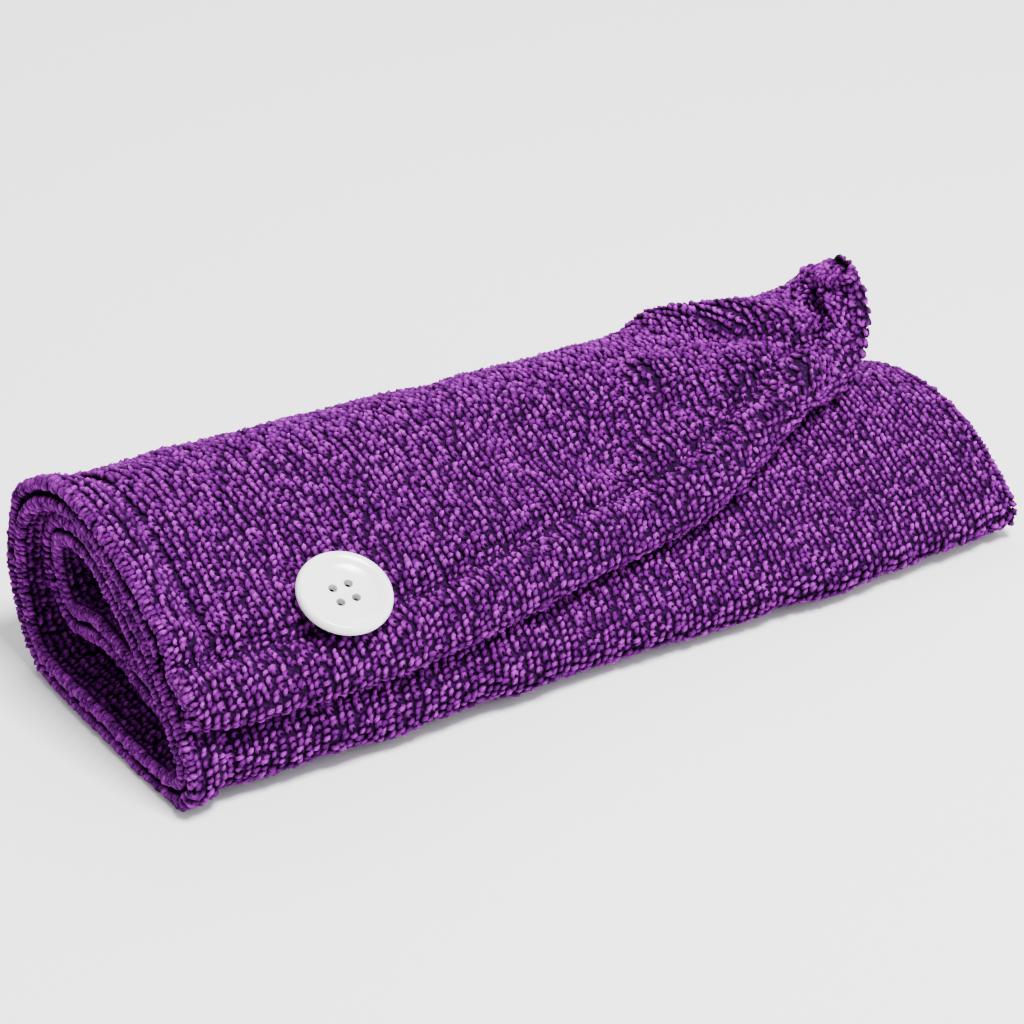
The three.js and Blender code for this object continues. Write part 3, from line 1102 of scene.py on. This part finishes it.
@dataclass
class Seats:
    """Where loops stand, in batches of arrays with a row for each loop."""

    batches: list[tuple[Array, ...]] = field(default_factory=list)

    def extend(self, points: Array, out: Array, around: Array, near: Array | bool = True,
               size: Array | float = 1.0, wild: Array | float = 1.0) -> None:
        """Adds a batch of seats.

        Args:
            points: their places, in millimetres.
            out: directions out of the cloth.
            around: directions along the row.
            near: which of them are looked at closely.
            size: the loops' sizes against the usual one.
            wild: how untidy they are against the usual.
        """
        rest = (np.broadcast_to(value, len(points)) for value in (near, size, wild))
        self.batches.append((points, out, around, *rest))

    def arrays(self) -> tuple[Array, ...]:
        """All seats, one array for each of extend's arguments."""
        return tuple(np.concatenate(parts) for parts in zip(*self.batches))


class LoopTree(NodeTree):
    """Geometry nodes that stand a bent loop of yarn on every vertex of a mesh.

    LEANS holds, for each kind of loop, how far its middle lies over to one side and how far its legs turn
    past each other. FOOT and TOP are how much of both the feet and the top of a loop follow.
    """

    INPUTS = {
        "NodeSocketFloat": ("Width", "Height", "Yarn", "Twist", "Spread", "Tilt"),
        "NodeSocketInt": ("Sides", "Segments", "Seed"),
        "NodeSocketMaterial": ("Material",),
    }
    LEANS = ((0.15, 0.45), (0.65, 0.25), (0.95, -0.15), (1.2, 0.3), (0.85, 0.7))
    FOOT = (-0.35, 0.2)
    TOP = (0.85, -0.6)
    SHOULDER = 0.72
    LEAN_DROP = 0.28
    BEZIER_RISE = 0.75
    SIZES = (0.86, 1.16)

    def __init__(self) -> None:
        """Builds the group."""
        group = bpy.data.node_groups.new("pile_loops", "GeometryNodeTree")
        super().__init__(group)
        group.interface.new_socket("Geometry", in_out="INPUT", socket_type="NodeSocketGeometry")
        for kind, names in self.INPUTS.items():
            for name in names:
                group.interface.new_socket(name, in_out="INPUT", socket_type=kind)
        group.interface.new_socket("Geometry", in_out="OUTPUT", socket_type="NodeSocketGeometry")
        self.given = self.add("NodeGroupInput")
        bundle = self.add("GeometryNodeJoinGeometry")
        for loop in reversed([self.loop(lean, curl) for lean, curl in self.LEANS]):
            self.tree.links.new(loop.socket, bundle.inputs[0])
        pick = self.random(0.0, len(self.LEANS) - 0.01, 1).math("FLOOR")
        stood = self.out("GeometryNodeInstanceOnPoints", None, {
            "Points": self.value("Geometry"), "Instance": Socket(self, bundle.outputs[0]), "Pick Instance": True,
            "Instance Index": pick, "Rotation": self.turn(),
            "Scale": self.random(*self.SIZES, 2) * self.of_seat("size")})
        # A random value for each loop, which varies the tone of its top and where painted highlights fall
        shaded = self.out("GeometryNodeStoreNamedAttribute", {"data_type": "FLOAT", "domain": "INSTANCE"}, {
            "Geometry": stood, "Name": "shade", "Value": self.random(0.0, 1.0, 7)})
        real = self.out("GeometryNodeRealizeInstances", None, {"Geometry": shaded})
        final = self.out("GeometryNodeSetMaterial", None, {"Geometry": real, "Material": self.value("Material")})
        self.add("NodeGroupOutput", None, {0: final})

    def value(self, name: str) -> Socket:
        """One of the group's inputs."""
        return Socket(self, self.given.outputs[name])

    def random(self, low: float, high: float, offset: int) -> Socket:
        """A random number for each seat, by an offset from the group's seed."""
        seed = self.value("Seed") + float(offset)
        return self.out("FunctionNodeRandomValue", {"data_type": "FLOAT"}, {2: low, 3: high, "Seed": seed}, 1)

    def of_seat(self, name: str, kind: str = "FLOAT") -> Socket:
        """One of the seats' attributes."""
        return self.out("GeometryNodeInputNamedAttribute", {"data_type": kind}, {"Name": name})

    def turn(self) -> Socket:
        """The turn of each loop: out of the cloth, then twisted and tilted at random.

        Returns:
            The rotation.
        """
        stand = self.out("FunctionNodeAxesToRotation", {"primary_axis": "Z", "secondary_axis": "X"}, {
            "Primary Axis": self.of_seat("out", "FLOAT_VECTOR"),
            "Secondary Axis": self.of_seat("around", "FLOAT_VECTOR")})
        spread, tilt, wild = self.value("Spread"), self.value("Tilt"), self.of_seat("wild")
        parts = self.out("ShaderNodeCombineXYZ", None, {
            "X": self.random(-1.0, 1.0, 4) * tilt * wild,
            "Y": self.random(-1.0, 1.0, 5) * tilt * wild,
            "Z": self.value("Twist") + self.random(-1.0, 1.0, 3) * spread * wild})
        euler = self.out("FunctionNodeEulerToRotation", None, {0: parts})
        return self.out("FunctionNodeRotateRotation", {"rotation_space": "LOCAL"}, {
            "Rotation": stand, "Rotate By": euler})

    def loop(self, lean: float, curl: float) -> Socket:
        """One bent loop of yarn as an instance.

        Args:
            lean: how far its middle lies over to one side, as a share of its width.
            curl: how far its two legs turn past each other.

        Returns:
            The loop.
        """
        width, height = self.value("Width"), self.value("Height") * (1.0 - self.LEAN_DROP * lean)
        top = height / self.BEZIER_RISE

        def corner(side: float, across: tuple[float, float], z: Socket | float) -> Socket:
            """A point of the path, to one side and across by shares of the width."""
            y = width * (across[0] * lean + across[1] * curl * math.copysign(1.0, side))
            return self.out("ShaderNodeCombineXYZ", None, {"X": width * side, "Y": y, "Z": z})

        path = self.out("GeometryNodeCurvePrimitiveBezierSegment", {"mode": "POSITION"}, {
            "Resolution": self.value("Segments"),
            "Start": corner(-0.5, self.FOOT, 0.0),
            "Start Handle": corner(-self.SHOULDER, self.TOP, top),
            "End Handle": corner(self.SHOULDER, self.TOP, top),
            "End": corner(0.5, self.FOOT, 0.0)})
        ring_around = self.out("GeometryNodeCurvePrimitiveCircle", {"mode": "RADIUS"}, {
            "Resolution": self.value("Sides"), "Radius": self.value("Yarn")})
        tube = self.out("GeometryNodeCurveToMesh", None, {"Curve": path, "Profile Curve": ring_around})
        place = self.out("ShaderNodeSeparateXYZ", None, {0: self.out("GeometryNodeInputPosition")}, "Z")
        # Height up the loop, by which the pile finish paints shade towards the root
        lift = self.out("GeometryNodeStoreNamedAttribute", {"data_type": "FLOAT", "domain": "POINT"}, {
            "Geometry": tube, "Name": "lift", "Value": place / (height + self.value("Yarn"))})
        soft = self.out("GeometryNodeSetShadeSmooth", None, {"Geometry": lift})
        return self.out("GeometryNodeGeometryToInstance", None, {"Geometry": soft})

    def apply(self, seats: bpy.types.Object, values: dict[str, object], name: str) -> bpy.types.Object:
        """Makes the loops on a seat mesh.

        Args:
            seats: the object whose vertices carry loops; it is removed.
            values: the group's inputs by name.
            name: the new object's name.

        Returns:
            The plain mesh object.
        """
        modifier = seats.modifiers.new("loops", "NODES")
        modifier.node_group = self.tree
        for item in self.tree.interface.items_tree:
            if item.item_type == "SOCKET" and item.in_out == "INPUT" and item.name in values:
                modifier[item.identifier] = values[item.name]
        return baked(seats, name)


@dataclass
class Pile:
    """The pile of one ply: loops in rows round the roll, over its edges, and nowhere out of sight.

    Attributes:
        side: which ply.
        shape: the rolled shape.
        loop: the sizes of a loop that is looked at closely.
        far_loop: the sizes of one that isn't.
        tree: the nodes that make the loops.
        material: their finish.
        seed: seed of all its randomness.
    """

    side: PlySide
    shape: RolledShape
    loop: LoopYarn
    far_loop: LoopYarn
    tree: LoopTree
    material: bpy.types.Material
    seed: int

    def __post_init__(self) -> None:
        """Measures the rows."""
        width = ROLL_LENGTH - 2 * EDGE_INSET
        count = int(round(width / ROW_SPACING))
        self.rng = np.random.default_rng(self.seed)
        self.shares = (EDGE_INSET + (np.arange(count) + 0.5) * width / count) / ROLL_LENGTH
        self.left, self.lines, self.right = (SpiralLines(self.shape, self.shares + nudge)
                                             for nudge in (-LINE_NUDGE, 0.0, LINE_NUDGE))

    def surface(self, lines: SpiralLines, line: int, length: Array) -> Array:
        """Points where the loops' roots lie.

        Args:
            lines: the measured lines.
            line: which of them.
            length: lengths from the mouth.

        Returns:
            Points in millimetres.
        """
        point, _, out = self.shape.frame_at(*lines.place(line, length))
        root = GROUND_OFFSET + GROUND_THICKNESS / 2 - ROOT_DEPTH
        return point + out * (self.side.value * (root + self.side.relief(length, lines.shares[line])))[..., None]

    def shown(self, x: Array, units: Array) -> Array:
        """Which places can be seen from outside or through an open end.

        Args:
            x: places along the roll.
            units: spiral units.

        Returns:
            True where loops are needed.
        """
        from_end = np.minimum(x, ROLL_LENGTH - x)
        if self.side is PlySide.INNER:
            return (from_end < END_VIEW_INNER) | ((units < MOUTH(x) + INNER_VIEW_UNITS) & (x > INNER_VIEW_X))
        return (units < MOUTH(x) + UNITS_A_TURN + HIDDEN_MARGIN) | (from_end < END_VIEW_OUTER)

    def seen_closely(self, x: Array, units: Array) -> Array:
        """Which places face the viewer: the flap, the front under it and the near end."""
        front = (units < TOP_END) | ((units > UNITS_A_TURN) & (units < UNITS_A_TURN + MOUTH(x) + HIDDEN_MARGIN))
        return (front & (self.side is PlySide.OUTER)) | (x < NEAR_VIEW)

    def rows(self, seats: Seats) -> None:
        """Adds the rows of the ply's face.

        Args:
            seats: where they are added.
        """
        for line in range(len(self.shares)):
            fine = np.arange(self.side.start, self.lines.lengths[line, -1] - TAIL_GAP, LENGTH_NUDGE)
            hops = np.linalg.norm(np.diff(self.surface(self.lines, line, fine), axis=0), axis=-1)
            run = np.concatenate([[0.0], np.cumsum(hops)])
            count = int(run[-1] / LOOP_PITCH)
            places = (np.arange(count) + 0.5 * (line % 2) + ROW_START) * LOOP_PITCH
            length = np.interp(places + self.rng.normal(0.0, PITCH_JITTER * LOOP_PITCH, count), run, fine)
            x, units = self.lines.place(line, length)
            kept = self.shown(x, units)
            length, x, units = length[kept], x[kept], units[kept]
            if not len(length):
                continue
            point = self.surface(self.lines, line, length)
            across = self.surface(self.right, line, length) - self.surface(self.left, line, length)
            around = (self.surface(self.lines, line, length + LENGTH_NUDGE)
                      - self.surface(self.lines, line, length - LENGTH_NUDGE))
            out = unit(np.cross(across, around)) * self.side.value
            shift = self.rng.normal(0.0, ROW_JITTER * ROW_SPACING, len(length))
            size, wild = 1.0, 1.0
            if self.side is PlySide.OUTER:
                size = 1.0 - SEAM_LOOP_CUT * bell((length - HEM.seam) / SEAM_HALF_WIDTH)
                wild = 1.0 + WILD_HEM * smooth(*WILD_HEM_X, x) * (1.0 - smooth(HEM.width, 3 * HEM.width, length))
            seats.extend(point + unit(across) * shift[:, None], out, unit(around), self.seen_closely(x, units),
                         size, wild)

    def mouth_edge(self, seats: Seats) -> None:
        """Adds the loops that go round the folded mouth edge and back under the flap.

        Args:
            seats: where they are added.
        """
        reach = GROUND_OFFSET + GROUND_THICKNESS / 2 - ROOT_DEPTH
        inset = EDGE_INSET / ROLL_LENGTH
        shares = [inset * part if part > 0 else 1.0 + inset * part for part, _ in MOUTH_ENDS]
        ends = SpiralLines(self.shape, np.array(shares))
        for lines, line in [(lines, line) for lines in (self.lines, ends) for line in range(len(lines.shares))]:
            point, across, out = self.shape.frame_at(*lines.place(line, np.array([0.0])))
            along = unit(np.cross(out, across))
            rim = reach + HEM.rolled(0.0, lines.shares[line])
            step = MOUTH_STEP * reach / rim
            for angle in np.arange(math.pi / 2 - step, -math.pi / 2, -step):
                turned = angle + self.rng.normal(0.0, MOUTH_JITTER)
                direction = out * math.sin(turned) - along * math.cos(turned)
                tangent = out * math.cos(turned) + along * math.sin(turned)
                if lines is ends:
                    direction = unit(direction + across * MOUTH_ENDS[line][1])
                seats.extend(point + direction * rim, unit(direction), unit(tangent))
            back = np.arange(UNDER_START, HEM.width - UNDER_GAP, LOOP_PITCH)
            back = back + self.rng.normal(0.0, UNDER_JITTER * LOOP_PITCH, len(back))
            x, units = lines.place(line, back)
            if UNDER_SHOWN_X[0] <= x[0] <= UNDER_SHOWN_X[1]:
                continue
            point, across, out = self.shape.frame_at(x, units)
            under = reach + HEM.rolled(back, lines.shares[line])
            seats.extend(point - out * under[:, None], -out, unit(np.cross(out, across)))

    def side_edges(self, seats: Seats) -> None:
        """Adds the rope of loops along both side edges, and those that close the hem's ends.

        Args:
            seats: where they are added.
        """
        reach = GROUND_THICKNESS / 2 - SIDE_DEPTH
        inset = EDGE_INSET / ROLL_LENGTH
        edges = SpiralLines(self.shape, np.array([inset, 1.0 - inset]))
        twist = math.radians(self.loop.twist)
        for line, (sign, wild) in enumerate(SIDES):
            for angle in SIDE_ANGLES:
                length = np.arange(self.side.start, edges.lengths[line, -1] - TAIL_GAP, SIDE_PITCH)
                length = length + self.rng.normal(0.0, SIDE_JITTER * SIDE_PITCH, len(length))
                point, across, out = self.shape.frame_at(*edges.place(line, length))
                offset = GROUND_OFFSET + self.side.relief(length, edges.shares[line])
                middle = point + out * (self.side.value * offset)[..., None]
                face = out * self.side.value
                direction = unit(across * sign * math.cos(angle) + face * math.sin(angle))
                along = unit(np.cross(out, across))
                # Loops get their usual twist later, so that this turn stands them across the edge
                turned = np.cross(direction, along) * math.cos(twist) + along * math.sin(twist)
                seats.extend(middle + direction * reach, direction, turned, wild=wild)
            if self.side is PlySide.INNER:
                continue
            length = np.arange(LOOP_PITCH, HEM.seam, LOOP_PITCH)
            point, across, out = self.shape.frame_at(*edges.place(line, length))
            offset = GROUND_OFFSET + HEM.relief(length, edges.shares[line])
            for part in HEM_END_ROWS:
                middle = point + out * (offset * part)[..., None]
                seats.extend(middle + across * sign * reach, across * sign, unit(np.cross(out, across)))

    def build(self, name: str) -> list[bpy.types.Object]:
        """Makes the pile's pieces.

        Args:
            name: the start of their names.

        Returns:
            The pieces, in order along the roll.
        """
        seats = Seats()
        self.rows(seats)
        if self.side is PlySide.OUTER:
            self.mouth_edge(seats)
        self.side_edges(seats)
        points, out, around, near, size, wild = seats.arrays()
        points = points + FRAME_SHIFT
        # Loops under the roll are crushed by its weight
        crushed = np.clip(points[:, 2] / CRUSH_HEIGHT, CRUSHED_SIZE, 1.0)
        size = np.where(out[:, 2] < 0.0, size * crushed, size)
        layers = (("out", "FLOAT_VECTOR", "vector", out), ("around", "FLOAT_VECTOR", "vector", around),
                  ("size", "FLOAT", "value", size), ("wild", "FLOAT", "value", wild))
        made: list[bpy.types.Object] = []
        for loop, members in ((self.loop, near), (self.far_loop, ~near)):
            order = np.flatnonzero(members)
            order = order[np.argsort(points[order, 0], kind="stable")]
            pieces = math.ceil(len(order) * loop.triangles / PIECE_BUDGET)
            for part in np.array_split(order, pieces):
                number = len(made) + 1
                seat = mesh_object(f"{name}_seats_{number}", points[part], [])
                for key, kind, entry, values in layers:
                    layer = seat.data.attributes.new(key, kind, "POINT")
                    layer.data.foreach_set(entry, values[part].astype(np.float32).ravel())
                given = {**loop.inputs(), "Seed": self.seed + number * 10, "Material": self.material}
                made.append(self.tree.apply(seat, given, f"{name}_{number}"))
                LOG.info("%s_%d: %d loops, %d triangles", name, number, len(part), len(part) * loop.triangles)
        return made


# Studio


@dataclass(frozen=True)
class View:
    """The photograph's camera: its place in metres, its turn and its lens."""

    place: tuple[float, float, float] = (-0.432787, -0.681626, 0.489839)
    tilt: float = 60.0
    heading: float = -32.11
    lens: float = 126.56
    sensor: float = 36.0

    def build(self) -> None:
        """Adds the camera."""
        data = bpy.data.cameras.new("camera")
        data.sensor_width = self.sensor
        data.lens = self.lens
        camera = bpy.data.objects.new("camera", data)
        camera.location = self.place
        camera.rotation_euler = (math.radians(self.tilt), 0.0, math.radians(self.heading))
        bpy.context.scene.collection.objects.link(camera)
        bpy.context.scene.camera = camera


@dataclass(frozen=True)
class SoftLight:
    """A rectangular light that faces the towel: size in metres, power in watts."""

    name: str
    place: tuple[float, float, float]
    size: tuple[float, float]
    power: float
    color: tuple[float, float, float] = (1.0, 1.0, 1.0)

    def build(self) -> bpy.types.Object:
        """Adds the light.

        Returns:
            Its object.
        """
        data = bpy.data.lights.new(self.name, "AREA")
        data.shape = "RECTANGLE"
        data.size, data.size_y = self.size
        data.energy = self.power
        data.color = self.color
        light = bpy.data.objects.new(self.name, data)
        light.location = self.place
        light.rotation_euler = (-Vector(self.place)).to_track_quat("-Z", "Y").to_euler()
        bpy.context.scene.collection.objects.link(light)
        return light


@dataclass(frozen=True)
class Studio:
    """The pale floor, the soft lights and the even surroundings."""

    floor_color: Color = (0.93, 0.93, 0.94, 1.0)
    floor_reach: float = 4000.0
    world_strength: float = 0.66
    lights: tuple[SoftLight, ...] = (
        SoftLight("key", (0.1, -0.5, 1.25), (0.4, 0.4), 56.0, (1.0, 0.985, 0.97)),
        SoftLight("fill", (0.75, -0.95, 0.6), (1.0, 0.8), 9.0, (0.97, 0.98, 1.0)),
        SoftLight("back", (0.35, 0.95, 0.9), (0.9, 0.6), 10.0),
    )

    def build(self) -> list[bpy.types.Object]:
        """Adds floor, lights and world.

        Returns:
            The objects that aren't part of the towel.
        """
        corners = np.array([(-1, -1, 0), (1, -1, 0), (1, 1, 0), (-1, 1, 0)]) * self.floor_reach
        floor = mesh_object("floor", corners, [(0, 1, 2, 3)], smooth_faces=False)
        floor.data.materials.append(PlainFinish("floor_paper", self.floor_color, 0.9).build())
        world = bpy.data.worlds.new("studio")
        world.use_nodes = True
        sky = world.node_tree.nodes["Background"]
        sky.inputs["Color"].default_value = (1.0, 1.0, 1.0, 1.0)
        sky.inputs["Strength"].default_value = self.world_strength
        bpy.context.scene.world = world
        return [floor] + [light.build() for light in self.lights]


def main() -> None:
    """Builds the towel, its looks and its studio."""
    logging.basicConfig(level=logging.INFO, format="%(message)s")
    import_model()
    shape = RolledShape()
    outer = Ply(PlySide.OUTER, shape, "outer_cloth").build()
    inner = Ply(PlySide.INNER, shape, "inner_cloth").build()
    button_maker = Button(ButtonSizes(), shape)
    button, thread = button_maker.build(), button_maker.build_thread()
    chenille, ground = PileFinish().build(), GroundFinish().build()
    plastic = PlainFinish("white_plastic", (0.90, 0.90, 0.89, 1.0), 0.22, coat=0.3).build()
    sewing_thread = PlainFinish("sewing_thread", (0.80, 0.79, 0.77, 1.0), 0.8).build()
    for obj, node, slot, material in (
        (outer, "outer_cloth", "outer_pile", ground),
        (inner, "inner_cloth", "inner_pile", ground),
        (button, "button", "button_plastic", plastic),
        (thread, "button_thread", "thread", sewing_thread),
    ):
        obj.data.materials.clear()
        obj.data.materials.append(material)
        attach(obj, "root")
        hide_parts(node)
        LOG.info("%s: %d faces", obj.name, len(obj.data.polygons))
    nodes = LoopTree()
    fine, coarse = LoopYarn(), LoopYarn(sides=3, segments=4)
    outer_pile = Pile(PlySide.OUTER, shape, fine, coarse, nodes, chenille, seed=11).build("outer_pile")
    inner_pile = Pile(PlySide.INNER, shape, fine, coarse, nodes, chenille, seed=500).build("inner_pile")
    for pieces, slot in ((outer_pile, "outer_pile"), (inner_pile, "inner_pile")):
        for piece in pieces:
            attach(piece, "root")
    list(Studio().build())
    View().build()


if __name__ == "__main__":
    main()
